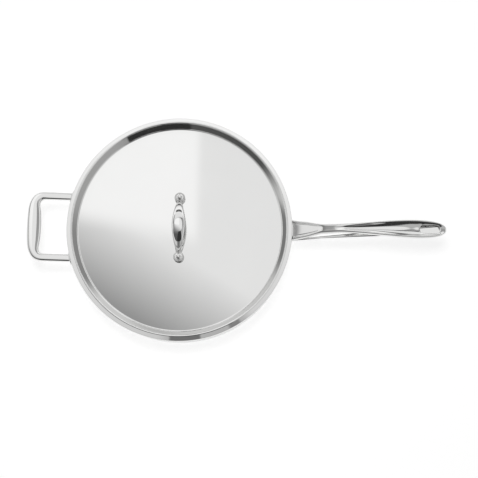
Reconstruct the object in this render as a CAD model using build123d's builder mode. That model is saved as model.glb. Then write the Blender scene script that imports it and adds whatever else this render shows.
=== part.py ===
from build123d import *
import os
from math import asin, cos, degrees, radians, sin, sqrt

os.makedirs("parts", exist_ok=True)

# Pan body, three bonded sheets with a straight wall; z = 0 is the underside
bore_diameter = 280.0
wall_height = 72.0
steel_skin = 0.5
aluminium_layer = 1.6
corner_radius = 14.0

# Lid, one pressed sheet: lip and flange over the rim, crest, gutter wall and dome
lid_sheet = 1.0
lid_overhang = 1.4
flange_width = 7.2
flange_drop = 4.2
lip_bend = 1.0
lip_height = 2.4
gutter_wall_width = 5.7
gutter_depth = 12.5
gutter_bend = 1.4
crest_bend = 2.0
dome_rise = 8.0
lid_clearance = 0.3

# Lid handle, a cast bridge between two turned ball feet
feet_spacing = 76.2
ball_diameter = 13.3
ball_sit = 5.6
bridge_rise = 20.3
bridge_width = 16.6
bridge_thickness = 6.0
screw_diameter = 4.0
screw_bite = 5.0
screw_head_diameter = 7.6
screw_head_height = 2.6
washer_diameter = 10.0
washer_thickness = 0.9

# Long handle, one casting with a riveted foot plate
handle_length = 195.0
grip_width = 23.2
grip_thickness = 12.5
handle_foot_height = 62.0
handle_lift = 27.0
foot_plate_width = 28.0
foot_plate_height = 35.0
foot_plate_corner = 8.0
plate_thickness = 3.0
plate_below_rim = 2.6
root_panel_depth = 1.6
root_panel_border = 3.6
trough_depth = 2.8
slot_length = 26.9
slot_width = 10.2
slot_to_tip = 7.9

# Helper handle, a loop with two riveted foot plates
helper_reach = 52.4
helper_bow = 3.6
helper_width = 89.2
helper_leg_width = 9.7
helper_bar_width = 18.1
helper_bar_swell = 3.0
helper_thickness = 8.4
helper_edge = 4.0
helper_outer_corner = 14.0
helper_inner_corner = 7.0
helper_foot_height = 64.0
helper_tilt = 7.0
helper_plate_width = 18.0
helper_plate_height = 37.0
helper_plate_corner = 6.0

# Rivets, driven from inside the pan through the wall and a foot plate
rivet_diameter = 5.2
rivet_hole_clearance = 0.1
rivet_inner_head = 10.0
rivet_inner_dome = 1.7
rivet_outer_head = 8.0
rivet_outer_dome = 1.6
rivet_seat_depth = 0.4
rivet_row_drop = 19.5
handle_rivet_step = 10.0
helper_rivet_step = 12.0
rivet_side_step = 8.5

# One overrun serves every through cut
overrun = 5.0

bore_radius = bore_diameter / 2
wall_thickness = 2 * steel_skin + aluminium_layer
wall_radius = bore_radius + wall_thickness
plate_radius = wall_radius + plate_thickness
outer_seat = plate_radius - rivet_seat_depth


def write(piece, name):
    """Label a finished piece and write it under its node's name."""
    piece.part.label = name
    export_step(piece.part, f"parts/{name}.step")


def radial(angle, radius, height):
    """The point at an angle in degrees round the pan, a radius out and a height up."""
    return (radius * cos(radians(angle)), radius * sin(radians(angle)), height)


# Rivet places: angle round the pan in degrees and height of the rivet's axis
handle_side_angle = degrees(asin(rivet_side_step / wall_radius))
plate_top = wall_height - plate_below_rim
rivet_row = plate_top - rivet_row_drop
handle_rivet_places = {
    "long_handle_rivet_back": (handle_side_angle, rivet_row),
    "long_handle_rivet_front": (-handle_side_angle, rivet_row),
    "long_handle_rivet_lower": (0, rivet_row - handle_rivet_step),
}
helper_plate_angle = degrees(asin((helper_width - helper_leg_width) / 2 / wall_radius))
helper_rivet_places = {}
for side, turn in (("back", -helper_plate_angle), ("front", helper_plate_angle)):
    for level, drop in (("upper", 0), ("lower", helper_rivet_step)):
        place = (180 + turn, rivet_row - drop)
        helper_rivet_places[f"helper_rivet_{side}_{level}"] = place
rivet_places = {**handle_rivet_places, **helper_rivet_places}


def drill_rivet_holes(places, start):
    """Drill each rivet's hole outwards from a radius, with a flat for its outer head."""
    for angle, height in places.values():
        outwards = radial(angle, 1, 0)
        inside = Plane(origin=radial(angle, start, height), z_dir=outwards)
        with BuildSketch(inside) as hole:
            Circle(rivet_diameter / 2 + rivet_hole_clearance)
        extrude(hole.sketch, amount=plate_radius - start, mode=Mode.SUBTRACT)
        outside = Plane(origin=radial(angle, outer_seat, height), z_dir=outwards)
        with BuildSketch(outside) as seat:
            Circle(rivet_outer_head / 2 + rivet_hole_clearance)
        extrude(seat.sketch, amount=overrun, mode=Mode.SUBTRACT)


def dome_sphere(radius, rise):
    """Radius of the sphere that makes a dome of this foot radius and rise."""
    return (radius**2 + rise**2) / (2 * rise)


def clad_layer(outer_depth, inner_depth):
    """Revolve one sheet of the vessel, between two depths in from its outside."""
    with BuildPart() as layer:
        with BuildSketch(Plane.XZ):
            with BuildLine():
                faces = [
                    FilletPolyline(
                        (0, depth),
                        (wall_radius - depth, depth),
                        (wall_radius - depth, wall_height),
                        radius=corner_radius - depth,
                    )
                    for depth in (outer_depth, inner_depth)
                ]
                Line(faces[0] @ 0, faces[1] @ 0)
                Line(faces[0] @ 1, faces[1] @ 1)
            make_face()
        revolve(axis=Axis.Z)
        drill_rivet_holes(rivet_places, bore_radius - overrun)
    return layer


# Pan body
pan_outer_skin = clad_layer(0, steel_skin)
write(pan_outer_skin, "pan_outer_skin")
pan_aluminium_core = clad_layer(steel_skin, steel_skin + aluminium_layer)
write(pan_aluminium_core, "pan_aluminium_core")
pan_inner_skin = clad_layer(steel_skin + aluminium_layer, wall_thickness)
write(pan_inner_skin, "pan_inner_skin")

# Lid heights: the flange's underside clears the rim's outer corner
lid_radius = wall_radius + lid_overhang
crest_radius = lid_radius - flange_width
disc_radius = crest_radius - gutter_wall_width
flange_slope = flange_drop / flange_width
slant = sqrt(1 + flange_slope**2)
corner_drop = (wall_radius - crest_radius) * flange_slope
crest_height = wall_height + corner_drop + (lid_sheet + lid_clearance) * slant
gutter_height = crest_height - gutter_depth
dome_radius = dome_sphere(disc_radius, dome_rise)
dome_centre = gutter_height + dome_rise - dome_radius


def dome_height(radius, depth=0):
    """Height of the lid's dome, or of a face a depth under it, at a radius."""
    return dome_centre + sqrt((dome_radius - depth) ** 2 - radius**2)


# The screws stand square to the lid's rim, each on a foot's axis
foot_offset = feet_spacing / 2
feet = {"front": -foot_offset, "back": foot_offset}
ball_radius = ball_diameter / 2
ball_height = dome_height(foot_offset) + ball_sit

# Lid shell
with BuildPart() as lid_shell:
    with BuildSketch(Plane.XZ):
        with BuildLine():
            gutter_start = disc_radius - gutter_bend
            gutter_corner = Vector(disc_radius, gutter_height)
            wall_direction = Vector(gutter_wall_width, gutter_depth).normalized()
            crest = Vector(crest_radius, crest_height)
            flange_direction = Vector(flange_width, -flange_drop).normalized()
            flange_end = crest + Vector(flange_width, -flange_drop)
            dome = ThreePointArc(
                (0, dome_height(0)),
                (gutter_start / 2, dome_height(gutter_start / 2)),
                (gutter_start, dome_height(gutter_start)),
            )
            gutter = TangentArc(
                dome @ 1,
                gutter_corner + wall_direction * gutter_bend,
                tangent=dome % 1,
            )
            gutter_wall = Line(gutter @ 1, crest - wall_direction * crest_bend)
            crest_arc = TangentArc(
                gutter_wall @ 1,
                crest + flange_direction * crest_bend,
                tangent=wall_direction,
            )
            flange = Line(crest_arc @ 1, flange_end - flange_direction * lip_bend)
            lip_arc = TangentArc(
                flange @ 1,
                flange_end - Vector(0, lip_bend),
                tangent=flange_direction,
            )
            Line(lip_arc @ 1, flange_end - Vector(0, lip_height))
            offset(amount=lid_sheet, side=Side.RIGHT)
        make_face()
    revolve(axis=Axis.Z)
    with Locations(*[(0, y, dome_height(0)) for y in feet.values()]):
        Cylinder(
            screw_diameter / 2 + rivet_hole_clearance,
            2 * dome_rise,
            mode=Mode.SUBTRACT,
        )
write(lid_shell, "lid_shell")

# Lid handle bridge: half the arch as shares of its span and rise, then mirrored
arch_shares = [
    (0.0, 1.0, 1.0, 1.0),
    (0.32, 0.92, 0.88, 0.98),
    (0.585, 0.67, 0.64, 0.94),
    (0.735, 0.37, 0.47, 0.92),
    (0.82, 0.15, 0.42, 0.90),
    (0.93, 0.02, 0.40, 0.84),
]
arch_points = [
    (0, span_share * foot_offset, ball_height + rise_share * bridge_rise)
    for span_share, rise_share, width_share, thickness_share in arch_shares
]
with BuildLine(mode=Mode.PRIVATE) as arch_line:
    arch = Spline(*arch_points, tangents=[(0, 1, 0), (0, 1, 0)])

with BuildPart() as lid_handle_bridge:
    for point, shares in zip(arch_points, arch_shares):
        along = arch.tangent_at(arch.param_at_point(point))
        with BuildSketch(Plane(origin=point, x_dir=(1, 0, 0), z_dir=along)):
            Ellipse(shares[2] * bridge_width / 2, shares[3] * bridge_thickness / 2)
    loft()
    mirror(about=Plane.XZ)
write(lid_handle_bridge, "lid_handle_bridge")

# Ball feet, seated on the dome, with a socket for the neck and a screw thread
for side, y in feet.items():
    with BuildPart() as ball_foot:
        with Locations((0, y, ball_height)):
            Sphere(ball_radius)
        with Locations((0, 0, dome_centre)):
            Sphere(dome_radius, mode=Mode.SUBTRACT)
        with Locations((0, y, ball_height - ball_sit)):
            Cylinder(screw_diameter / 2, 2 * screw_bite, mode=Mode.SUBTRACT)
        add(lid_handle_bridge.part, mode=Mode.SUBTRACT)
    write(ball_foot, f"lid_ball_foot_{side}")

# Screws and dished washers under the lid
washer_seat = dome_height(foot_offset + washer_diameter / 2, lid_sheet)
for side, y in feet.items():
    with BuildPart() as washer:
        with Locations((0, y, washer_seat - washer_thickness)):
            Cylinder(
                washer_diameter / 2,
                washer_thickness + lid_sheet,
                align=(Align.CENTER, Align.CENTER, Align.MIN),
            )
            Hole(screw_diameter / 2 + rivet_hole_clearance)
        with Locations((0, 0, dome_centre)):
            Sphere(dome_radius - lid_sheet, mode=Mode.INTERSECT)
    write(washer, f"lid_washer_{side}")

    with BuildPart() as screw:
        with BuildSketch(Plane.XY.offset(washer_seat - washer_thickness)):
            with Locations((0, y)):
                Circle(screw_head_diameter / 2)
        extrude(amount=-screw_head_height)
        fillet(screw.edges().group_by(Axis.Z)[0], screw_head_height / 2)
        with BuildSketch(Plane.XY.offset(washer_seat - washer_thickness)):
            with Locations((0, y)):
                Circle(screw_diameter / 2)
        extrude(amount=ball_height - ball_sit + screw_bite - washer_seat)
    write(screw, f"lid_screw_{side}")

# Long handle: stations from the wall out, as shares of its length, of its
# grip's width and thickness, and of its lift from the foot to the grip
station_shares = [
    (-0.02, 1.15, 1.04, -0.03),
    (0.095, 0.93, 0.88, 0.30),
    (0.182, 0.585, 0.76, 0.60),
    (0.30, 0.50, 0.72, 0.87),
    (0.436, 0.60, 0.80, 0.985),
    (0.564, 0.79, 0.92, 1.0),
    (0.726, 0.99, 1.0, 0.96),
    (0.81, 1.0, 0.96, 0.91),
    (0.894, 0.89, 0.84, 0.86),
    (0.955, 0.66, 0.70, 0.82),
    (0.985, 0.42, 0.56, 0.80),
    (1.0, 0.20, 0.36, 0.79),
]
section_corner_share = 0.44

# The trough on the grip: station number, then its shares of the handle's
# half width and of its full depth there
trough_shares = [
    (3, 0.10, 0.30),
    (4, 0.50, 0.75),
    (5, 0.66, 1.0),
    (6, 0.74, 1.0),
    (7, 0.75, 1.0),
    (8, 0.72, 0.9),
    (9, 0.62, 0.7),
    (10, 0.30, 0.3),
]


def handle_x(share):
    """Distance from the pan's axis of a share of the handle's length."""
    return wall_radius + share * handle_length


def station_plane(share, height):
    """A plane across the handle at a share of its length, x to the left."""
    return Plane(origin=(handle_x(share), 0, height), x_dir=(0, 1, 0), z_dir=(1, 0, 0))


stations = []
for share, width_share, thickness_share, lift_share in station_shares:
    half_width = width_share * grip_width / 2
    half_thickness = thickness_share * grip_thickness / 2
    centre = handle_foot_height + lift_share * handle_lift
    stations.append((share, half_width, half_thickness, centre))

slot_centre = handle_x(1) - slot_to_tip - slot_length / 2
slot_top = handle_foot_height + handle_lift + grip_thickness

with BuildPart() as long_handle:
    for share, half_width, half_thickness, centre in stations:
        with BuildSketch(station_plane(share, centre)):
            corner = 2 * section_corner_share * min(half_width, half_thickness)
            RectangleRounded(2 * half_width, 2 * half_thickness, corner)
    loft()
    # The foot plate, a shield bent round the wall
    with BuildSketch(Plane.YZ.offset(wall_radius - overrun)):
        with Locations((0, plate_top - foot_plate_height / 2)):
            RectangleRounded(foot_plate_width, foot_plate_height, foot_plate_corner)
    extrude(amount=overrun + plate_thickness)
    # The wall shapes the foot's inner face
    Cylinder(wall_radius, 2 * (wall_height + handle_lift), mode=Mode.SUBTRACT)
    # The sunk panel on the root
    for share, half_width, half_thickness, centre in stations[:3]:
        with BuildSketch(station_plane(share, centre + half_thickness)):
            Rectangle(2 * (half_width - root_panel_border), 2 * root_panel_depth)
    loft(mode=Mode.SUBTRACT)
    # The trough along the grip
    for station, width_share, depth_share in trough_shares:
        share, half_width, half_thickness, centre = stations[station]
        with BuildSketch(station_plane(share, centre + half_thickness)):
            Ellipse(width_share * half_width, depth_share * trough_depth)
    loft(mode=Mode.SUBTRACT)
    # The hanging slot
    with BuildSketch(Plane.XY.offset(slot_top)):
        with Locations((slot_centre, 0)):
            SlotOverall(slot_length, slot_width)
    extrude(amount=-2 * grip_thickness - handle_lift, mode=Mode.SUBTRACT)
    drill_rivet_holes(handle_rivet_places, wall_radius - overrun)
write(long_handle, "long_handle")

# Helper handle: a loop in a plane that climbs away from the wall
helper_plane = Plane(
    origin=(-wall_radius, 0, helper_foot_height),
    x_dir=(-cos(radians(helper_tilt)), 0, sin(radians(helper_tilt))),
    z_dir=(sin(radians(helper_tilt)), 0, cos(radians(helper_tilt))),
)
helper_half = helper_width / 2
helper_bar_inside = helper_reach - helper_bar_width
leg_start = sqrt(wall_radius**2 - helper_half**2) - wall_radius - overrun


def loop_outline(half, middle, end):
    """Closed outline of a loop: two straight legs and a curved far side."""
    with BuildLine() as outline:
        Polyline((end, half), (leg_start, half), (leg_start, -half), (end, -half))
        ThreePointArc((end, half), (middle, 0), (end, -half))
    return make_face(outline.edges())


with BuildPart() as helper_handle:
    with BuildSketch(helper_plane.offset(-helper_thickness / 2)) as helper_outline:
        loop_outline(helper_half, helper_reach, helper_reach - helper_bow)
        fillet(helper_outline.vertices().group_by(Axis.X)[-1], helper_outer_corner)
        with BuildSketch(mode=Mode.PRIVATE) as helper_gap:
            loop_outline(
                helper_half - helper_leg_width,
                helper_bar_inside,
                helper_bar_inside + helper_bar_swell,
            )
            fillet(helper_gap.vertices().group_by(Axis.X)[-1], helper_inner_corner)
        add(helper_gap.sketch, mode=Mode.SUBTRACT)
    extrude(amount=helper_thickness)
    fillet(helper_handle.edges().filter_by(helper_plane), helper_edge)
    for turn in (-helper_plate_angle, helper_plate_angle):
        plate_centre = plate_top - helper_plate_height / 2
        across = Plane(
            origin=radial(180 + turn, wall_radius - overrun, plate_centre),
            x_dir=radial(turn - 90, 1, 0),
            z_dir=radial(180 + turn, 1, 0),
        )
        with BuildSketch(across):
            RectangleRounded(helper_plate_width, helper_plate_height, helper_plate_corner)
        extrude(amount=overrun + plate_thickness)
    Cylinder(wall_radius, 2 * (wall_height + handle_lift), mode=Mode.SUBTRACT)
    drill_rivet_holes(helper_rivet_places, wall_radius - overrun)
write(helper_handle, "helper_handle")

# Rivets: a wide low dome inside the pan, a shank, and a small dome on the plate
inner_head_radius = rivet_inner_head / 2
outer_head_radius = rivet_outer_head / 2
shank_radius = rivet_diameter / 2
inner_seat = sqrt(bore_radius**2 - inner_head_radius**2)
for rivet_name, (angle, height) in rivet_places.items():
    along_axis = Plane(
        origin=(0, 0, height),
        x_dir=radial(angle, 1, 0),
        z_dir=radial(angle - 90, 1, 0),
    )
    with BuildPart() as rivet:
        with BuildSketch(along_axis):
            with BuildLine():
                RadiusArc(
                    (inner_seat - rivet_inner_dome, 0),
                    (inner_seat, inner_head_radius),
                    dome_sphere(inner_head_radius, rivet_inner_dome),
                )
                Polyline(
                    (inner_seat, inner_head_radius),
                    (inner_seat, shank_radius),
                    (outer_seat, shank_radius),
                    (outer_seat, outer_head_radius),
                )
                RadiusArc(
                    (outer_seat, outer_head_radius),
                    (outer_seat + rivet_outer_dome, 0),
                    dome_sphere(outer_head_radius, rivet_outer_dome),
                )
                Line((outer_seat + rivet_outer_dome, 0), (inner_seat - rivet_inner_dome, 0))
            make_face()
        revolve(axis=Axis((0, 0, height), radial(angle, 1, 0)))
    write(rivet, rivet_name)
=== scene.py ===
from math import asin, cos, pi, radians, sin, sqrt

import bmesh
import bpy
from mathutils import Matrix, Vector


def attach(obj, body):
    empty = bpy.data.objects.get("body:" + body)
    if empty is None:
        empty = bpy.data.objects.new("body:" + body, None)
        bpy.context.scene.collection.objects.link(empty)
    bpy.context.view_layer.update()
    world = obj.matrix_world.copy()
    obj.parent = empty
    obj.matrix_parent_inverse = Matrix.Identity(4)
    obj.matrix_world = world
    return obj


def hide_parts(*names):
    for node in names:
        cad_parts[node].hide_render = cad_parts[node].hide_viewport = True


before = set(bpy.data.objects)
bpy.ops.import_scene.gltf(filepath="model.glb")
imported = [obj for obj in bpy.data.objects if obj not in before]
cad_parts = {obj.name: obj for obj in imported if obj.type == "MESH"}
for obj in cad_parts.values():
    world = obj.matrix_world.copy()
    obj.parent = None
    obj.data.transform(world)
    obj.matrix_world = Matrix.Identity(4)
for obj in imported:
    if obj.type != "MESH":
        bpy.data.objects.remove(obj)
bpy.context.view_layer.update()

# Pan body: steel outside, aluminium between and steel inside, bonded flat and
# drawn together into a straight-sided vessel with a rounded foot. The outside
# is satin, the inside has fine turned lines, and the cut rim shows three rings.
mm = 0.001
bore_radius = 140 * mm
steel_skin = 0.5 * mm
aluminium_layer = 1.6 * mm
wall_height = 72 * mm
foot_radius = 14 * mm
rim_ease = 0.12 * mm
wall_radius = bore_radius + 2 * steel_skin + aluminium_layer
turning_steps = 256
steel_tone = (0.78, 0.78, 0.775, 1)
aluminium_tone = (0.80, 0.81, 0.82, 1)


def add(tree, kind, inputs, **settings):
    """Add a shader node, set its options, and link or set its inputs."""
    made = tree.nodes.new("ShaderNode" + kind)
    for option, value in settings.items():
        setattr(made, option, value)
    for socket, value in inputs.items():
        if isinstance(value, bpy.types.NodeSocket):
            tree.links.new(value, made.inputs[socket])
        else:
            made.inputs[socket].default_value = value
    return made


def calculate(tree, operation, *values, clamp=False):
    """A Math node's result."""
    inputs = dict(enumerate(values))
    return add(tree, "Math", inputs, operation=operation, use_clamp=clamp).outputs[0]


def effect(name, inputs, outputs):
    """A node group for one effect, with named numbers in and named values out."""
    tree = bpy.data.node_groups.new(name, "ShaderNodeTree")
    for socket_name, default in inputs.items():
        socket = tree.interface.new_socket(socket_name, in_out="INPUT", socket_type="NodeSocketFloat")
        socket.default_value = default
    for socket_name in outputs:
        tree.interface.new_socket(socket_name, in_out="OUTPUT", socket_type="NodeSocketFloat")
    given = tree.nodes.new("NodeGroupInput").outputs
    handed_on = tree.nodes.new("NodeGroupOutput").inputs
    return tree, given, handed_on


# Lines left by turning: rings about the pan's axis, broken up along their length
turned_lines, given, handed_on = effect("turned_lines", {"Lines": 2500.0}, ["Line"])
point = add(turned_lines, "TexCoord", {}).outputs["Object"]
flat = add(turned_lines, "VectorMath", {0: point, 1: (1, 1, 0)}, operation="MULTIPLY").outputs[0]
radius = add(turned_lines, "VectorMath", {0: flat}, operation="LENGTH").outputs["Value"]
around = add(turned_lines, "VectorMath", {0: flat}, operation="NORMALIZE").outputs[0]
height = add(turned_lines, "SeparateXYZ", {0: point}).outputs["Z"]
across = calculate(turned_lines, "ADD", radius, height)
lathe = add(
    turned_lines,
    "TexNoise",
    {
        "Vector": around,
        "W": calculate(turned_lines, "MULTIPLY", across, given["Lines"]),
        "Scale": 1.5,
        "Detail": 3.0,
    },
    noise_dimensions="4D",
)
turned_lines.links.new(lathe.outputs[0], handed_on["Line"])

# Marks of handling and buffing: cloudy smears and sparse hair lines two ways
handling, given, handed_on = effect("handling", {"Smears": 22.0, "Hairs": 60.0}, ["Smear", "Hair"])
point = add(handling, "TexCoord", {}).outputs["Object"]
cloud = add(handling, "TexNoise", {"Vector": point, "Scale": given["Smears"], "Detail": 4.0})
handling.links.new(cloud.outputs[0], handed_on["Smear"])
hairs = []
for hair_angle in (radians(27), radians(118)):
    turned = add(
        handling,
        "Mapping",
        {"Vector": point, "Rotation": (0.3, 0.2, hair_angle), "Scale": (1, 40, 40)},
    )
    line = add(
        handling,
        "TexNoise",
        {"Vector": turned.outputs[0], "Scale": given["Hairs"], "Detail": 1.0},
    )
    hairs.append(
        add(handling, "MapRange", {0: line.outputs[0], 1: 0.66, 2: 0.74}).outputs[0]
    )
handling.links.new(calculate(handling, "MAXIMUM", *hairs), handed_on["Hair"])


def steel(name, tone, roughness, smear=0.05, hair=0.05, wave=0.0, lines=0.0, line_depth=0.0):
    """A metal finish: roughness varied by handling, with waves and turned lines."""
    material = bpy.data.materials.new(name)
    material.use_nodes = True
    tree = material.node_tree
    shader = tree.nodes["Principled BSDF"]
    shader.inputs["Metallic"].default_value = 1.0
    marks = add(tree, "Group", {}, node_tree=handling)
    mottle = add(
        tree,
        "MapRange",
        {0: marks.outputs["Smear"], 1: 0.3, 2: 0.7, 3: 0.985, 4: 1.0},
    ).outputs[0]
    colour = add(tree, "VectorMath", {0: tone[:3], "Scale": mottle}, operation="SCALE")
    tree.links.new(colour.outputs[0], shader.inputs["Base Color"])
    smeared = add(
        tree,
        "MapRange",
        {0: marks.outputs["Smear"], 1: 0.3, 2: 0.7, 3: roughness, 4: roughness + smear},
    ).outputs[0]
    haired = calculate(tree, "MULTIPLY_ADD", marks.outputs["Hair"], hair, smeared)
    point = add(tree, "TexCoord", {}).outputs["Object"]
    swell = add(tree, "TexNoise", {"Vector": point, "Scale": 18.0, "Detail": 0.0})
    relief = add(tree, "Bump", {"Strength": 1.0, "Distance": wave, "Height": swell.outputs[0]})
    if lines:
        turning = add(tree, "Group", {"Lines": lines}, node_tree=turned_lines).outputs["Line"]
        haired = calculate(tree, "MULTIPLY_ADD", turning, 0.05, haired)
        relief = add(
            tree,
            "Bump",
            {
                "Strength": 1.0,
                "Distance": line_depth,
                "Height": turning,
                "Normal": relief.outputs[0],
            },
        )
    tree.links.new(haired, shader.inputs["Roughness"])
    tree.links.new(relief.outputs[0], shader.inputs["Normal"])
    return material


def finish_mesh(bm, name, body, nodes, material, sharp=35):
    """Close a bmesh into an object that rides on a body and stands for its nodes."""
    bmesh.ops.remove_doubles(bm, verts=bm.verts, dist=0.002 * mm)
    bmesh.ops.recalc_face_normals(bm, faces=bm.faces)
    mesh = bpy.data.meshes.new(name)
    bm.to_mesh(mesh)
    bm.free()
    mesh.shade_smooth()
    mesh.set_sharp_from_angle(angle=radians(sharp))
    mesh.materials.append(material)
    piece = bpy.data.objects.new(name, mesh)
    bpy.context.scene.collection.objects.link(piece)
    piece.modifiers.new("broad_faces_lead", "WEIGHTED_NORMAL").keep_sharp = True
    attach(piece, body)
    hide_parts(*nodes)
    return piece


def draw_outline(bm, points, closed=False):
    """Wire of straight runs through points given as (radius, height)."""
    verts = [bm.verts.new((radius, 0, height)) for radius, height in points]
    pairs = list(zip(verts, verts[1:]))
    if closed:
        pairs.append((verts[-1], verts[0]))
    for pair in pairs:
        bm.edges.new(pair)
    return verts


def ease(bm, parts, width, segments, affect="EDGES"):
    """Round corners or edges off by a width."""
    bmesh.ops.bevel(
        bm,
        geom=parts,
        offset=width,
        offset_type="OFFSET",
        segments=segments,
        profile=0.5,
        affect=affect,
        material=-1,
    )


def turn(bm, steps=turning_steps):
    """Spin everything drawn so far once round the vertical axis."""
    bmesh.ops.spin(
        bm,
        geom=bm.verts[:] + bm.edges[:],
        cent=(0, 0, 0),
        axis=(0, 0, 1),
        angle=2 * pi,
        steps=steps,
        use_merge=True,
    )


def clad_layer(name, node, material, outer_depth, inner_depth):
    """One bonded sheet of the body, between two depths in from its outside."""
    bm = bmesh.new()
    corners = draw_outline(
        bm,
        [
            (0, outer_depth),
            (wall_radius - outer_depth, outer_depth),
            (wall_radius - outer_depth, wall_height),
            (wall_radius - inner_depth, wall_height),
            (wall_radius - inner_depth, inner_depth),
            (0, inner_depth),
        ],
        closed=True,
    )
    axis_edges = [e for e in bm.edges if all(v.co.x < mm for v in e.verts)]
    bmesh.ops.delete(bm, geom=axis_edges, context="EDGES")
    ease(bm, [corners[1]], foot_radius - outer_depth, 14, affect="VERTICES")
    ease(bm, [corners[4]], foot_radius - inner_depth, 14, affect="VERTICES")
    ease(bm, [corners[2], corners[3]], rim_ease, 2, affect="VERTICES")
    turn(bm)
    return finish_mesh(bm, name, "pan", [node], material)


core_depth = steel_skin + aluminium_layer
satin = steel("satin_outside", steel_tone, 0.24, smear=0.06, lines=1400.0, line_depth=0.003 * mm)
cut_edge = steel("aluminium_edge", aluminium_tone, 0.34, smear=0.05)
brushed = steel("brushed_inside", steel_tone, 0.2, smear=0.05, lines=1800.0, line_depth=0.004 * mm)
clad_layer("outer_skin", "pan_outer_skin", satin, 0, steel_skin)
clad_layer("bonded_core", "pan_aluminium_core", cut_edge, steel_skin, core_depth)
clad_layer(
    "inner_skin",
    "pan_inner_skin",
    brushed,
    core_depth,
    wall_radius - bore_radius,
)

# Long handle: one steel casting, buffed bright, with a foot plate curved to the
# wall. Its root has a sunk panel between two borders, and its grip a trough
# with rolled borders that runs out round the hanging slot.
handle_length = 195 * mm
grip_width = 23.2 * mm
grip_thickness = 12.5 * mm
handle_foot_height = 62 * mm
handle_lift = 27 * mm
panel_depth = 1.6 * mm
trough_depth = 2.8 * mm
slot_length = 26.9 * mm
slot_width = 10.2 * mm
slot_to_tip = 7.9 * mm
slot_ease = 0.5 * mm
plate_width = 28 * mm
plate_height = 35 * mm
plate_corner = 8 * mm
plate_thickness = 3 * mm
plate_ease = 0.9 * mm
plate_below_rim = 2.6 * mm
plate_top = wall_height - plate_below_rim
polished = steel("polished_casting", steel_tone, 0.05, smear=0.03, hair=0.03, wave=0.01 * mm)

# Stations from the wall out: shares of the handle's length, of its grip's half
# width and half thickness, and of its lift; then how far the hollow on top
# reaches across the half width there, and how much of its depth it has
handle_shares = [
    (-0.02, 1.24, 1.10, -0.09, 0.72, 1.0),
    (0.016, 1.16, 1.05, 0.02, 0.72, 1.0),
    (0.055, 1.03, 0.96, 0.155, 0.71, 1.0),
    (0.095, 0.93, 0.88, 0.30, 0.69, 1.0),
    (0.14, 0.74, 0.81, 0.46, 0.63, 1.0),
    (0.175, 0.605, 0.77, 0.58, 0.50, 0.9),
    (0.19, 0.575, 0.755, 0.625, 0.40, 0.2),
    (0.21, 0.55, 0.745, 0.68, 0.35, 0.0),
    (0.30, 0.505, 0.72, 0.87, 0.35, 0.0),
    (0.335, 0.51, 0.735, 0.915, 0.35, 0.1),
    (0.37, 0.53, 0.755, 0.95, 0.46, 0.7),
    (0.436, 0.60, 0.80, 0.985, 0.60, 0.95),
    (0.50, 0.69, 0.86, 1.0, 0.68, 1.0),
    (0.564, 0.79, 0.92, 1.0, 0.73, 1.0),
    (0.645, 0.90, 0.97, 0.985, 0.76, 1.0),
    (0.726, 0.99, 1.0, 0.96, 0.78, 1.0),
    (0.79, 1.01, 0.97, 0.925, 0.79, 1.0),
]
end_shares = [
    (0.0, 1.01, 0.96, 0.91, 0.79, 0.95),
    (0.19, 0.99, 0.93, 0.895, 0.79, 0.92),
    (0.5, 0.94, 0.88, 0.87, 0.79, 0.88),
    (0.81, 0.82, 0.80, 0.845, 0.79, 0.8),
    (1.0, 0.70, 0.74, 0.83, 0.79, 0.7),
]
tip_shares = [
    (0.968, 0.62, 0.68, 0.815, 0.80, 0.5),
    (0.988, 0.44, 0.56, 0.80, 0.75, 0.2),
    (1.0, 0.22, 0.36, 0.79, 0.70, 0.0),
]

# The section's columns from the top's middle round one side to the bottom's:
# how far across the hollow, the border or the half width, and how high. The
# panel's floor is flat to a steep step, and the trough's is round.
columns = 20
panel_floor = ((0.55, 1.0), (0.93, 0.97))
trough_floor = ((0.38, 0.92), (0.72, 0.58))


def handle_section(half_width, half_thickness, centre, hollow_half, depth, floor_shares):
    """Points (across, height) of a section's one half, from top middle to bottom middle."""
    top = centre + half_thickness
    bottom = centre - half_thickness
    border = half_width - hollow_half
    return [
        (0, top - depth),
        *[(across * hollow_half, top - down * depth) for across, down in floor_shares],
        (hollow_half, top - 0.08 * depth),
        (hollow_half + 0.45 * border, top + 0.02 * half_thickness),
        (hollow_half + 0.90 * border, top - 0.22 * half_thickness),
        (1.01 * half_width, centre + 0.15 * half_thickness),
        (0.96 * half_width, centre - 0.50 * half_thickness),
        (0.70 * half_width, bottom + 0.05 * half_thickness),
        (0.36 * half_width, bottom - 0.01 * half_thickness),
        (0, bottom - 0.01 * half_thickness),
    ]


def place_ring(ring, x, section):
    """Move a ring's points to a section across the handle at a distance x."""
    for index, vert in enumerate(ring):
        column = min(index, columns - index)
        across, level = section[column]
        vert.co = (x, across if index <= columns / 2 else -across, level)


def next_ring(bm, ring):
    """Extrude a closed ring of points and give its new points in the same order."""
    edges = [e for e in bm.edges if e.verts[0] in ring and e.verts[1] in ring]
    grown = bmesh.ops.extrude_edge_only(bm, edges=edges)["geom"]
    twins = {tuple(v.co): v for v in grown if isinstance(v, bmesh.types.BMVert)}
    return [twins[tuple(v.co)] for v in ring]


slot_end = handle_length - slot_to_tip
slot_start = slot_end - slot_length
stations = [(share * handle_length, *rest) for share, *rest in handle_shares]
stations += [(slot_start + share * slot_length, *rest) for share, *rest in end_shares]
stations += [(share * handle_length, *rest) for share, *rest in tip_shares]

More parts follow.
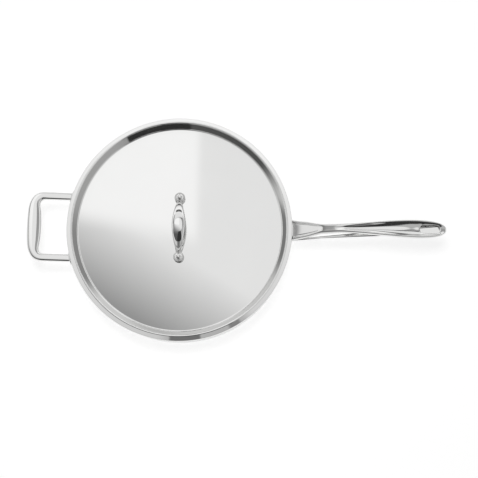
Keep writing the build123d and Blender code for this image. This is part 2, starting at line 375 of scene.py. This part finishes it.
bm = bmesh.new()
ring = bmesh.ops.create_circle(bm, segments=columns, radius=grip_width)["verts"]
rings = []
for along, width_share, thickness_share, lift_share, hollow_share, depth_share in stations:
    if rings:
        ring = next_ring(bm, ring)
    half_width = width_share * grip_width / 2
    half_thickness = thickness_share * grip_thickness / 2
    on_root = along < handle_length / 4
    full_depth = panel_depth if on_root else trough_depth
    section = handle_section(
        half_width,
        half_thickness,
        handle_foot_height + lift_share * handle_lift,
        hollow_share * half_width,
        depth_share * full_depth,
        panel_floor if on_root else trough_floor,
    )
    place_ring(ring, wall_radius + along, section)
    rings.append(ring)
for ring in (rings[0], rings[-1]):
    bmesh.ops.contextual_create(bm, geom=ring)

# The hanging slot: the middle faces go, top and bottom, the edges left are
# brought to two half circles and straight sides, and a wall joins them
slot_rings = rings[len(handle_shares) : len(handle_shares) + len(end_shares)]
slot_radius = slot_width / 2
round_reach = 0.293 * slot_radius
slot_spots = [
    (slot_start, 0.72 * slot_radius),
    (slot_start + 0.55 * slot_radius, slot_radius),
    ((slot_start + slot_end) / 2, slot_radius),
    (slot_end - 0.55 * slot_radius, slot_radius),
    (slot_end, 0.72 * slot_radius),
]
for middle, side in ((0, 1), (columns // 2, columns // 2 - 1)):
    kept = {v for ring in slot_rings for v in (ring[middle], ring[side], ring[2 * middle - side])}
    inner = [f for f in bm.faces if all(v in kept for v in f.verts)]
    bmesh.ops.delete(bm, geom=inner, context="FACES")
    for number, (ring, (along, reach)) in enumerate(zip(slot_rings, slot_spots)):
        for index in (side, 2 * middle - side):
            vert = ring[index]
            vert.co.x = wall_radius + along + (round_reach if number == 0 else 0)
            vert.co.x -= round_reach if number == len(slot_rings) - 1 else 0
            vert.co.y = reach if vert.co.y > 0 else -reach
slot_loops = [e for e in bm.edges if e.is_boundary]
bmesh.ops.bridge_loops(bm, edges=slot_loops)
ease(bm, slot_loops, slot_ease, 2)
handle_bm = bm


def foot_plate(bm, width, height, corner, angle):
    """A plate with round corners, bent to the wall, at an angle round the pan."""
    bottom = plate_top - height
    before = set(bm.verts)
    outline = [
        bm.verts.new((side * width / 2, 0, level))
        for side, level in ((-1, bottom), (1, bottom), (1, plate_top), (-1, plate_top))
    ]
    bm.faces.new(outline)
    ease(bm, outline, corner, 6, affect="VERTICES")
    front = [f for f in bm.faces if not before & set(f.verts)]
    grown = bmesh.ops.extrude_face_region(bm, geom=front)["geom"]
    raised = [v for v in grown if isinstance(v, bmesh.types.BMVert)]
    bmesh.ops.translate(bm, verts=raised, vec=(0, plate_thickness, 0))
    raised_set = set(raised)
    rim = [
        e
        for e in bm.edges
        if raised_set.issuperset(e.verts) and any(not raised_set.issuperset(f.verts) for f in e.link_faces)
    ]
    ease(bm, rim, plate_ease, 3)
    strips = 10
    for strip in range(1, strips):
        mine = [v for v in bm.verts if v not in before]
        edges = {e for v in mine for e in v.link_edges}
        faces = {f for v in mine for f in v.link_faces}
        bmesh.ops.bisect_plane(
            bm,
            geom=mine + list(edges) + list(faces),
            plane_co=((strip / strips - 0.5) * width, 0, 0),
            plane_no=(1, 0, 0),
        )
    for vert in bm.verts:
        if vert not in before:
            bearing = angle + vert.co.x / wall_radius
            out = wall_radius + vert.co.y
            vert.co = (out * cos(bearing), out * sin(bearing), vert.co.z)


def smooth_by_cage(bm, level):
    """The mesh of a cage after a subdivision surface, as a new bmesh."""
    cage = bpy.data.meshes.new("cage")
    bmesh.ops.recalc_face_normals(bm, faces=bm.faces)
    bm.to_mesh(cage)
    bm.free()
    holder = bpy.data.objects.new("cage", cage)
    bpy.context.scene.collection.objects.link(holder)
    rounding = holder.modifiers.new("rounding", "SUBSURF")
    rounding.levels = level
    rounding.render_levels = level
    view_layer = bpy.context.evaluated_depsgraph_get()
    smooth = bmesh.new()
    smooth.from_object(holder, view_layer)
    bpy.data.objects.remove(holder)
    bpy.data.meshes.remove(cage)
    return smooth


bm = smooth_by_cage(handle_bm, 2)
foot_plate(bm, plate_width, plate_height, plate_corner, 0)
finish_mesh(bm, "long_handle_casting", "pan", ["long_handle"], polished)

# Helper handle: a loop cast in one with its two foot plates and buffed bright.
# Round legs swell into a broad flat bar that bows outwards, and the whole loop
# climbs a little away from the wall.
helper_reach = 52.4 * mm
helper_bow = 3.6 * mm
helper_width = 89.2 * mm
helper_leg = 9.7 * mm
helper_bar = 18.1 * mm
helper_swell = 3 * mm
helper_thickness = 8.4 * mm
helper_corner = 14 * mm
helper_inner_corner = 7 * mm
helper_foot_height = 64 * mm
helper_tilt = radians(7)
helper_plate_width = 18 * mm
helper_plate_height = 37 * mm
helper_plate_corner = 6 * mm
helper_half = helper_width / 2
bar_inside = helper_reach - helper_bar
ring_points = 16
root_overlap = 9 * mm


def flattened(value, roundness):
    """A sine or cosine pushed out towards a square: a roundness of 1 leaves it round."""
    return abs(value) ** roundness * (1 if value >= 0 else -1)


def corner_point(centre, corner, share):
    """A point on a quarter circle from a leg's line to the bar's, by a share of it."""
    turned = share * pi / 2
    return (centre[0] + corner * sin(turned), centre[1] + corner * cos(turned))


outer_centre = (helper_reach - helper_bow - helper_corner, helper_half - helper_corner)
inner_half = helper_half - helper_leg
inner_end = bar_inside + helper_swell
inner_centre = (inner_end - helper_inner_corner, inner_half - helper_inner_corner)
# Pairs of points (out from the wall, across) on the loop's outside and inside
pairs = [((reach, helper_half), (reach, inner_half)) for reach in (-root_overlap, 3 * mm, 14 * mm)]
pairs.append(((outer_centre[0] - helper_corner / 3, helper_half), (inner_centre[0], inner_half)))
for share in (0.15, 0.5, 0.85):
    pairs.append(
        (
            corner_point(outer_centre, helper_corner, share),
            corner_point(inner_centre, helper_inner_corner, share),
        )
    )
for share in (0.62, 0.32, 0):
    bow = helper_bow * (1 - share**2)
    swell = helper_swell * share**2
    pairs.append(
        (
            (helper_reach - helper_bow + bow, share * helper_half),
            (bar_inside + swell, share * inner_half),
        )
    )
pairs += [((a, -b), (c, -d)) for (a, b), (c, d) in reversed(pairs[:-1])]

bm = bmesh.new()
ring = bmesh.ops.create_circle(bm, segments=ring_points, radius=helper_leg)["verts"]
rings = []
for outside, inside in pairs:
    if rings:
        ring = next_ring(bm, ring)
    outside = Vector(outside)
    inside = Vector(inside)
    middle = (outside + inside) / 2
    half = (outside - inside) / 2
    # The bar's inside is rounder than the rest of the loop
    inner_roundness = 0.5 + 0.4 * abs(half.normalized().x)
    for index, vert in enumerate(ring):
        turned = 2 * pi * index / ring_points
        roundness = 0.5 if cos(turned) >= 0 else inner_roundness
        spot = middle + half * flattened(cos(turned), roundness) * 1.02
        vert.co = (spot.x, spot.y, flattened(sin(turned), roundness) * helper_thickness / 2)
    rings.append(ring)
for ring in (rings[0], rings[-1]):
    bmesh.ops.contextual_create(bm, geom=ring)
bm = smooth_by_cage(bm, 2)
loop_place = (
    Matrix.Translation((-wall_radius, 0, helper_foot_height))
    @ Matrix.Rotation(helper_tilt, 4, "Y")
    @ Matrix.Rotation(pi, 4, "Z")
)
bmesh.ops.transform(bm, matrix=loop_place, verts=bm.verts)
helper_angle = asin((helper_width - helper_leg) / 2 / wall_radius)
for bearing in (pi - helper_angle, pi + helper_angle):
    foot_plate(bm, helper_plate_width, helper_plate_height, helper_plate_corner, bearing)
finish_mesh(bm, "helper_handle_casting", "pan", ["helper_handle"], polished)

# Rivets: solid steel, pushed through from inside the pan and headed over on the
# foot plates. A wide low dome shows inside and a smaller one outside.
rivet_radius = 2.6 * mm
inner_head = 5 * mm
inner_dome = 1.7 * mm
outer_head = 4 * mm
outer_dome = 1.6 * mm
rivet_steps = 40
seat_depth = 0.4 * mm
rivet_row = plate_top - 19.5 * mm
side_step = 8.5 * mm
handle_step = 10 * mm
helper_step = 12 * mm
rivet_finish = steel("bright_rivets", steel_tone, 0.12, smear=0.06)


def dome_points(radius, rise, seat, steps=8):
    """Points (radius, level) of a low dome, from its edge on the seat to its top."""
    sphere = (radius**2 + rise**2) / (2 * rise)
    reach = asin(radius / abs(sphere))
    points = []
    for step in range(steps + 1):
        lean = reach * (1 - step / steps)
        points.append((abs(sphere) * sin(lean), seat + rise - sphere * (1 - cos(lean))))
    return points


def rivet(name, node, bearing, level):
    """One rivet, turned about its axis and laid along a bearing round the pan."""
    inner_seat = sqrt(bore_radius**2 - inner_head**2)
    outer_seat = wall_radius + plate_thickness - seat_depth
    bm = bmesh.new()
    inside = dome_points(inner_head, -inner_dome, inner_seat)
    outside = dome_points(outer_head, outer_dome, outer_seat)
    draw_outline(bm, inside[::-1] + [(rivet_radius, inner_seat), (rivet_radius, outer_seat)] + outside)
    turn(bm, rivet_steps)
    place = (
        Matrix.Translation((0, 0, level))
        @ Matrix.Rotation(bearing, 4, "Z")
        @ Matrix.Rotation(pi / 2, 4, "Y")
    )
    bmesh.ops.transform(bm, matrix=place, verts=bm.verts)
    return finish_mesh(bm, name, "pan", [node], rivet_finish)


handle_side = asin(side_step / wall_radius)
rivet("handle_rivet_back", "long_handle_rivet_back", handle_side, rivet_row)
rivet("handle_rivet_front", "long_handle_rivet_front", -handle_side, rivet_row)
rivet("handle_rivet_lower", "long_handle_rivet_lower", 0, rivet_row - handle_step)
for side, turned in (("back", -helper_angle), ("front", helper_angle)):
    for level, drop in (("upper", 0), ("lower", helper_step)):
        rivet(
            f"helper_rivet_{side}_{level}_head",
            f"helper_rivet_{side}_{level}",
            pi + turned,
            rivet_row - drop,
        )

# Lid: one sheet of steel, pressed into a shallow dome, a steep gutter wall, a
# crest and a sloping flange that sits on the rim and ends in a short lip. The
# pressed rim is bright as rolled, and the disc is buffed in fine turned lines.
lid_sheet = 1.0 * mm
lid_radius = wall_radius + 1.4 * mm
flange_width = 7.2 * mm
flange_drop = 4.2 * mm
lip_bend = 1.0 * mm
lip_height = 2.4 * mm
gutter_wall_width = 5.7 * mm
gutter_depth = 12.5 * mm
gutter_bend = 1.4 * mm
crest_bend = 2.0 * mm
dome_rise = 8 * mm
lid_clearance = 0.3 * mm
lip_ease = 0.2 * mm
lid_steps = 320
crest_radius = lid_radius - flange_width
disc_radius = crest_radius - gutter_wall_width
flange_slope = flange_drop / flange_width
rim_drop = (wall_radius - crest_radius) * flange_slope
sheet_rise = (lid_sheet + lid_clearance) * sqrt(1 + flange_slope**2)
crest_height = wall_height + rim_drop + sheet_rise
gutter_height = crest_height - gutter_depth
dome_radius = (disc_radius**2 + dome_rise**2) / (2 * dome_rise)
dome_centre = gutter_height + dome_rise - dome_radius
lid_finish = steel("polished_lid", steel_tone, 0.03, smear=0.02, hair=0.02, lines=900.0)
tree = lid_finish.node_tree
shader = tree.nodes["Principled BSDF"]
point = add(tree, "TexCoord", {}).outputs["Object"]
flat = add(tree, "VectorMath", {0: point, 1: (1, 1, 0)}, operation="MULTIPLY").outputs[0]
reach = add(tree, "VectorMath", {0: flat}, operation="LENGTH").outputs["Value"]
shine = add(
    tree,
    "MapRange",
    {0: reach, 1: disc_radius - gutter_bend, 2: disc_radius, 3: 1.0, 4: 0.4},
).outputs[0]
buffed = shader.inputs["Roughness"].links[0].from_socket
tree.links.new(calculate(tree, "MULTIPLY", buffed, shine), shader.inputs["Roughness"])

bm = bmesh.new()
dome_top = bm.verts.new((0, 0, dome_centre + dome_radius))
swept = bmesh.ops.spin(
    bm,
    geom=[dome_top],
    cent=(0, 0, dome_centre),
    axis=(0, 1, 0),
    angle=asin((disc_radius - gutter_bend) / dome_radius),
    steps=56,
)
dome_edge = [v for v in swept["geom_last"] if isinstance(v, bmesh.types.BMVert)][0]
bends = draw_outline(
    bm,
    [
        (disc_radius, gutter_height),
        (crest_radius, crest_height),
        (lid_radius, crest_height - flange_drop),
        (lid_radius, crest_height - flange_drop - lip_height),
    ],
)
bm.edges.new((dome_edge, bends[0]))
ease(bm, [bends[0]], 0.95 * gutter_bend, 8, affect="VERTICES")
ease(bm, [bends[1]], crest_bend, 8, affect="VERTICES")
ease(bm, [bends[2]], lip_bend, 6, affect="VERTICES")
turn(bm, lid_steps)
bmesh.ops.remove_doubles(bm, verts=bm.verts, dist=0.002 * mm)
bmesh.ops.recalc_face_normals(bm, faces=bm.faces)
centre_face = min(bm.faces, key=lambda face: face.calc_center_median().xy.length)
if centre_face.normal.z < 0:
    bmesh.ops.reverse_faces(bm, faces=bm.faces)
bmesh.ops.solidify(bm, geom=bm.faces, thickness=lid_sheet)
lip_edges = [
    e
    for e in bm.edges
    if min(v.co.xy.length for v in e.verts) > lid_radius - 1.2 * lid_sheet
    and e.calc_face_angle(0) > radians(60)
]
ease(bm, lip_edges, lip_ease, 2)
finish_mesh(bm, "lid_pressing", "lid", ["lid_shell"], lid_finish)


def dome_height(radius, depth=0):
    """Height of the lid's dome, or of a face a depth under it, at a radius."""
    return dome_centre + sqrt((dome_radius - depth) ** 2 - radius**2)


# Lid handle: a cast bridge, broad and leaf-shaped on top, that narrows to a neck
# at each end. A ball foot under each end stands it on the dome.
feet_spacing = 76.2 * mm
ball_radius = 6.65 * mm
ball_sit = 5.6 * mm
bridge_rise = 20.3 * mm
bridge_width = 16.6 * mm
bridge_thickness = 6 * mm
foot_offset = feet_spacing / 2
ball_height = dome_height(foot_offset) + ball_sit
# Half the arch, from its middle to a ball's centre: shares of the half span, of
# the rise, of the width and of the thickness
arch_shares = [
    (0.0, 1.0, 1.0, 1.0),
    (0.16, 0.98, 0.97, 1.0),
    (0.32, 0.92, 0.88, 0.98),
    (0.46, 0.81, 0.76, 0.96),
    (0.585, 0.67, 0.64, 0.94),
    (0.67, 0.52, 0.53, 0.93),
    (0.735, 0.37, 0.47, 0.92),
    (0.78, 0.24, 0.43, 0.91),
    (0.83, 0.12, 0.41, 0.90),
    (0.90, 0.03, 0.40, 0.86),
]
arch = [
    Vector((0, along * foot_offset, ball_height + rise * bridge_rise))
    for along, rise, wide, thick in arch_shares
]
bm = bmesh.new()
ring = bmesh.ops.create_circle(bm, segments=ring_points, radius=bridge_width)["verts"]
for number, (spot, (along, rise, wide, thick)) in enumerate(zip(arch, arch_shares)):
    if number:
        ring = next_ring(bm, ring)
    before = arch[number - 1] if number else Vector((0, -arch[1].y, arch[1].z))
    after = arch[number + 1] if number + 1 < len(arch) else spot + Vector((0, ball_radius, 0))
    heading = (after - before).normalized()
    upright = Vector((1, 0, 0)).cross(heading)
    # The leaf is flatter than its necks
    roundness = 0.75 if wide > 0.5 else 1.0
    for index, vert in enumerate(ring):
        turned = 2 * pi * index / ring_points
        sideways = 1.02 * wide * bridge_width / 2 * flattened(cos(turned), roundness)
        upwards = 1.02 * thick * bridge_thickness / 2 * flattened(sin(turned), roundness)
        vert.co = spot + Vector((sideways, 0, 0)) + upright * upwards
bmesh.ops.contextual_create(bm, geom=ring)
for vert in bm.verts:
    if abs(vert.co.y) < 0.01 * mm:
        vert.co.y = 0
bmesh.ops.mirror(bm, geom=bm.verts[:] + bm.edges[:] + bm.faces[:], axis="Y", merge_dist=0.01 * mm)
bm = smooth_by_cage(bm, 2)
finish_mesh(bm, "lid_bridge_casting", "lid", ["lid_handle_bridge"], polished)

turned_feet = steel("turned_feet", steel_tone, 0.26, smear=0.04)
for side, y in (("front", -foot_offset), ("back", foot_offset)):
    bm = bmesh.new()
    bmesh.ops.create_uvsphere(bm, u_segments=48, v_segments=32, radius=ball_radius)
    bmesh.ops.translate(bm, verts=bm.verts, vec=(0, y, ball_height))
    seat = Vector((0, y, dome_height(foot_offset)))
    outwards = (seat - Vector((0, 0, dome_centre))).normalized()
    cut = bmesh.ops.bisect_plane(
        bm,
        geom=bm.verts[:] + bm.edges[:] + bm.faces[:],
        plane_co=seat,
        plane_no=outwards,
        clear_inner=True,
    )
    seat_edges = [e for e in cut["geom_cut"] if isinstance(e, bmesh.types.BMEdge)]
    bmesh.ops.edgeloop_fill(bm, edges=seat_edges)
    finish_mesh(bm, f"ball_foot_{side}", "lid", [f"lid_ball_foot_{side}"], turned_feet)

# Lid screws and washers: under the dome, a dished washer and a round-headed
# screw hold each ball foot and the bridge's neck from below.
screw_radius = 2 * mm
screw_bite = 5 * mm
screw_head = 3.8 * mm
screw_head_height = 2.6 * mm
washer_radius = 5 * mm
washer_thickness = 0.9 * mm
socket_radius = 1.3 * mm
socket_depth = 1.2 * mm
washer_ease = 0.2 * mm
washer_dish = 0.25 * mm
fastener_steps = 48
fastener_finish = steel("plain_fasteners", steel_tone, 0.2, smear=0.08)
washer_seat = dome_height(foot_offset + washer_radius, lid_sheet)
washer_bottom = washer_seat - washer_thickness

for side, y in (("front", -foot_offset), ("back", foot_offset)):
    bm = bmesh.new()
    washer_top = washer_seat + washer_dish
    corners = draw_outline(
        bm,
        [
            (screw_radius, washer_bottom),
            (washer_radius, washer_bottom),
            (washer_radius, washer_seat),
            (screw_radius, washer_top),
        ],
        closed=True,
    )
    ease(bm, corners[1:3], washer_ease, 2, affect="VERTICES")
    turn(bm, fastener_steps)
    bmesh.ops.translate(bm, verts=bm.verts, vec=(0, y, 0))
    finish_mesh(
        bm,
        f"dished_washer_{side}",
        "lid",
        [f"lid_washer_{side}"],
        fastener_finish,
    )

    bm = bmesh.new()
    head_bottom = washer_bottom - screw_head_height
    head = dome_points(screw_head, -screw_head_height, washer_bottom)
    head = [(max(radius, socket_radius), level) for radius, level in head]
    screw_top = ball_height - ball_sit + screw_bite - washer_thickness
    draw_outline(
        bm,
        [
            (0, head_bottom + socket_depth),
            (socket_radius, head_bottom + socket_depth),
        ]
        + head[::-1]
        + [(screw_radius, washer_bottom), (screw_radius, screw_top), (0, screw_top)],
    )
    turn(bm, fastener_steps)
    bmesh.ops.translate(bm, verts=bm.verts, vec=(0, y, 0))
    finish_mesh(
        bm,
        f"lid_screw_{side}_round",
        "lid",
        [f"lid_screw_{side}"],
        fastener_finish,
    )

# Floor: a plain pale sheet. It looks white where nothing shades it, and keeps
# the soft shadow of the pan and its handles. The steel mirrors it as white near
# the pan and darker further out.
bm = bmesh.new()
bmesh.ops.create_grid(bm, x_segments=1, y_segments=1, size=4)
mesh = bpy.data.meshes.new("floor")
bm.to_mesh(mesh)
bm.free()
floor = bpy.data.objects.new("floor", mesh)
bpy.context.scene.collection.objects.link(floor)
paper = bpy.data.materials.new("white_paper")
paper.use_nodes = True
tree = paper.node_tree
tree.nodes.remove(tree.nodes["Principled BSDF"])
seen = add(tree, "LightPath", {}).outputs
shown = calculate(tree, "MAXIMUM", seen["Is Camera Ray"], seen["Is Transmission Ray"])
matt = add(tree, "BsdfDiffuse", {"Color": (0.9, 0.9, 0.9, 1)})
point = add(tree, "TexCoord", {}).outputs["Object"]
away = add(tree, "VectorMath", {0: point}, operation="LENGTH").outputs["Value"]
white = add(tree, "MapRange", {0: away, 1: 0.5, 2: 1.5, 3: 0.66, 4: 0.82}).outputs[0]
mirrored = add(tree, "MapRange", {0: away, 1: 0.25, 2: 0.6, 3: 0.66, 4: 0.3}).outputs[0]
white = calculate(tree, "MULTIPLY", shown, white)
white = calculate(tree, "MULTIPLY_ADD", seen["Is Glossy Ray"], mirrored, white)
lift = add(tree, "Emission", {"Strength": white})
both = add(tree, "AddShader", {0: matt.outputs[0], 1: lift.outputs[0]})
tree.links.new(both.outputs[0], tree.nodes["Material Output"].inputs[0])
mesh.materials.append(paper)

# Studio: what the polished steel mirrors. A soft panel hangs over the back left,
# the room falls away to grey at the sides, and dark cards stand at the front. It
# is laid up card by card, each with its brightness and its place.
world = bpy.data.worlds.new("studio")
bpy.context.scene.world = world
world.use_nodes = True
world.cycles.sampling_method = "NONE"
tree = world.node_tree
backdrop = tree.nodes["Background"]
direction = add(tree, "TexCoord", {}).outputs["Generated"]
parts = add(tree, "SeparateXYZ", {0: direction})
x, y, z = parts.outputs["X"], parts.outputs["Y"], parts.outputs["Z"]
above = calculate(tree, "MAXIMUM", z, 0.05)
# Places on a ceiling one unit up: u to the right and v to the back
u = calculate(tree, "DIVIDE", x, above)
v = calculate(tree, "DIVIDE", y, above)
bearing = calculate(tree, "ARCTAN2", y, x)


def fade(value, start, end):
    """From 0 at the start to 1 at the end, smoothly, either way round."""
    low, high = min(start, end), max(start, end)
    made = add(tree, "MapRange", {0: value, 1: low, 2: high}, interpolation_type="SMOOTHSTEP")
    result = made.outputs[0]
    return result if start < end else calculate(tree, "SUBTRACT", 1.0, result)


def lay(under, brightness, *masks):
    """Lay a card of one brightness over what is there, inside all its masks."""
    mask = masks[0]
    for other in masks[1:]:
        mask = calculate(tree, "MULTIPLY", mask, other)
    step = calculate(tree, "SUBTRACT", brightness, under)
    return calculate(tree, "MULTIPLY_ADD", step, mask, under)


def towards(middle, edge, solid):
    """A mask round a bearing in degrees: whole inside one half width, none beyond another."""
    turned = calculate(tree, "ABSOLUTE", calculate(tree, "SUBTRACT", bearing, radians(middle)))
    return fade(turned, radians(edge), radians(solid))


def climb(start, end):
    """A mask by elevation in degrees: none at the start, whole at the end."""
    return fade(elevation, radians(start), radians(end))


# Overhead, the room is brightest at the back right and falls towards the front
# left, and a soft panel hangs over the back left
slant = calculate(tree, "MULTIPLY_ADD", u, 0.837, calculate(tree, "MULTIPLY", v, 1.448))
room = add(tree, "MapRange", {0: slant, 1: -0.38, 2: 0.07, 3: 0.36, 4: 0.975}).outputs[0]
panel_edge = calculate(tree, "MULTIPLY_ADD", u, 0.22, v)
room = lay(room, 1.15, fade(u, 0.018, -0.018), fade(panel_edge, 0.08, 0.17))
# The walls round it: grey, white at the back and low on the left, dark above that
# and at the front
elevation = calculate(tree, "ARCSINE", z)
walls = lay(0.38, 0.88, towards(118, 45, 14))
walls = lay(walls, 0.55, towards(-25, 45, 20))
walls = lay(walls, 0.29, fade(u, -0.52, -0.68))
walls = lay(walls, 0.95, fade(u, -0.86, -0.94), fade(v, 0.36, 0.28))
walls = lay(walls, 0.12, fade(v, 0.05, -0.5), fade(u, 0.3, 0.2))
walls = lay(walls, 0.04, towards(-78.4, 22.5, 21.5))
walls = lay(walls, 0.95, towards(85, 42, 26), climb(58, 54))
walls = lay(walls, 0.07, towards(61, 8, 6), climb(60, 58), climb(54, 55))
far_u = calculate(tree, "SUBTRACT", u, -0.059)
far_v = calculate(tree, "SUBTRACT", v, 0.167)
squares = calculate(tree, "MULTIPLY_ADD", far_u, far_u, calculate(tree, "MULTIPLY", far_v, far_v))
aside = calculate(tree, "SQRT", squares)
room = lay(room, walls, fade(aside, 0.38, 0.41))
# Pale sweep near the floor, brightest at the back, with dark feet in front, a
# dark strip at the back and a darker horizon
low = climb(36.5, 34.5)
sweep = calculate(tree, "MULTIPLY_ADD", calculate(tree, "SINE", bearing), 0.2, 0.93)
room = lay(room, sweep, low)
room = lay(room, 0.55, low, towards(-75, 32, 22))
room = lay(room, 0.2, low, towards(-89, 10.5, 8.5))
room = lay(room, 0.28, low, towards(-57, 5, 2.5))
room = lay(room, 0.15, climb(34, 31), climb(21, 24), towards(90, 24, 16))
horizon = calculate(tree, "MULTIPLY_ADD", calculate(tree, "SINE", bearing), 0.36, 0.6)
room = lay(room, horizon, climb(14, 3))

seen = add(tree, "LightPath", {}).outputs
level = calculate(tree, "MAXIMUM", calculate(tree, "MULTIPLY", seen["Is Glossy Ray"], room), 0.0)
matt_light = calculate(tree, "MULTIPLY", seen["Is Diffuse Ray"], 0.25)
plain = calculate(tree, "MAXIMUM", seen["Is Camera Ray"], seen["Is Transmission Ray"])
level = calculate(tree, "ADD", calculate(tree, "ADD", level, matt_light), plain)
backdrop.inputs["Color"].default_value = (1, 1, 1, 1)
tree.links.new(level, backdrop.inputs["Strength"])

# A broad lamp overhead, a little to the back, for the shadow on the floor
lamp_data = bpy.data.lights.new("overhead", "AREA")
lamp_data.shape = "DISK"
lamp_data.size = 0.35
lamp_data.energy = 3.9
lamp = bpy.data.objects.new("overhead", lamp_data)
lamp.matrix_world = Matrix.Translation((0.0, 0.08, 1.6))
lamp.visible_glossy = False
lamp.visible_camera = False
bpy.context.scene.collection.objects.link(lamp)

# Camera: nearly straight down, from the front, at the photograph's framing
target = Vector((0.0761, -0.0133, 0.0724))
viewpoint = Vector((0.0761, -0.2144, 1.3567))
camera_data = bpy.data.cameras.new("camera")
camera_data.lens = 77
camera = bpy.data.objects.new("camera", camera_data)
aim = (target - viewpoint).to_track_quat("-Z", "Y").to_matrix().to_4x4()
roll = Matrix.Rotation(radians(0.8), 4, "Z")
camera.matrix_world = Matrix.Translation(viewpoint) @ aim @ roll
bpy.context.scene.collection.objects.link(camera)
bpy.context.scene.camera = camera
bpy.context.scene.view_settings.view_transform = "Standard"
